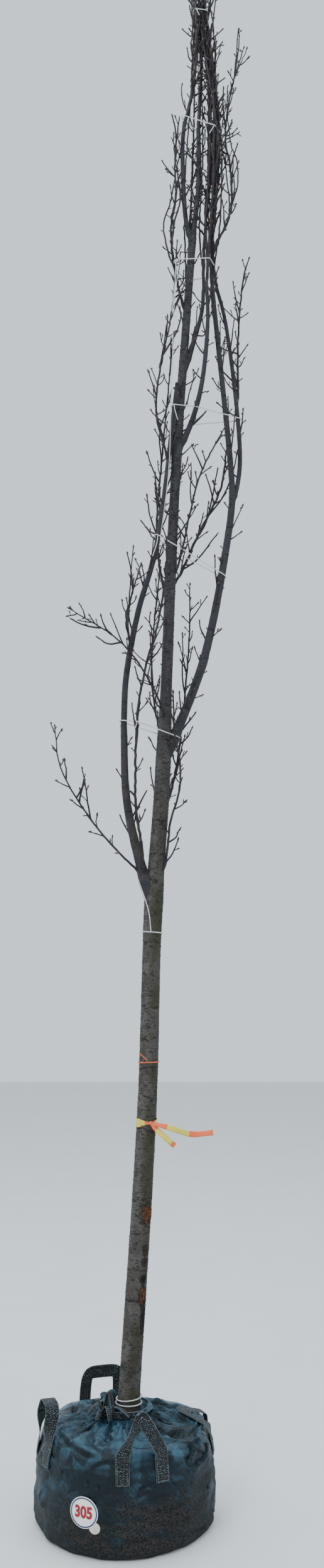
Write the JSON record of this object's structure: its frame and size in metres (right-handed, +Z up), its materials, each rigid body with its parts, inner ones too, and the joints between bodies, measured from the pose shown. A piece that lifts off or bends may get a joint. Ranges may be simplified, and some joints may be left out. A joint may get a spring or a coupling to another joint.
{
  "type": "young tree on a bagged root ball",
  "caption": "Tall young deciduous tree, bare in winter, its narrow crown tied in with string, standing on a round woven bag with webbing handles that holds its root ball.",
  "frame": {"origin": "middle of the bag's flat underside, where it stands on the ground", "axes": "+Z up along the tree, -Y towards the side that the picture shows, +X to that side's right"},
  "size_m": [0.7866, 0.6, 6.7855],
  "materials": {
    "bark": "matte",
    "twigs": "matte",
    "bag": "satin",
    "webbing": "matte",
    "tag": "satin",
    "string": "matte",
    "orange": "matte",
    "ribbon": "satin"
  },
  "bodies": {
    "root": {"bough_back_lower": "bark", "bough_back_upper": "bark", "bough_left_lower": "bark", "bough_left_upper": "bark", "bough_right_inner": "bark", "bough_right_lower": "bark", "bough_right_outer": "bark", "bough_top_right": "bark", "bough_upper_right": "bark", "handle_back": "webbing", "handle_front": "webbing", "handle_left": "webbing", "handle_right": "webbing", "leader_left": "bark", "leader_right": "bark", "lot_tag": "tag", "marker_ribbon": "ribbon", "neck_drawstring": "webbing", "root_ball_bag": "bag", "tie_foot_high": "string", "tie_foot_low": "string", "tie_fork": "string", "tie_leaders": "string", "tie_low": "string", "tie_middle": "string", "tie_orange": "orange", "tie_sheaf": "string", "tie_slant": "string", "tie_top": "string", "trunk": "bark", "twigs_back_high": "twigs", "twigs_back_left": "twigs", "twigs_back_low": "twigs", "twigs_back_right": "twigs", "twigs_leader_left": "twigs", "twigs_leader_right": "twigs", "twigs_left_arc": "twigs", "twigs_left_arm": "twigs", "twigs_left_companion": "twigs", "twigs_left_high": "twigs", "twigs_left_low": "twigs", "twigs_left_spray": "twigs", "twigs_right_loop": "twigs", "twigs_right_side": "twigs", "twigs_right_slant": "twigs", "twigs_right_stem": "twigs", "twigs_right_thin": "twigs", "twigs_sheaf_back": "twigs", "twigs_sheaf_front": "twigs", "twigs_sheaf_left": "twigs", "twigs_sheaf_middle": "twigs"}
  },
  "joints": []
}
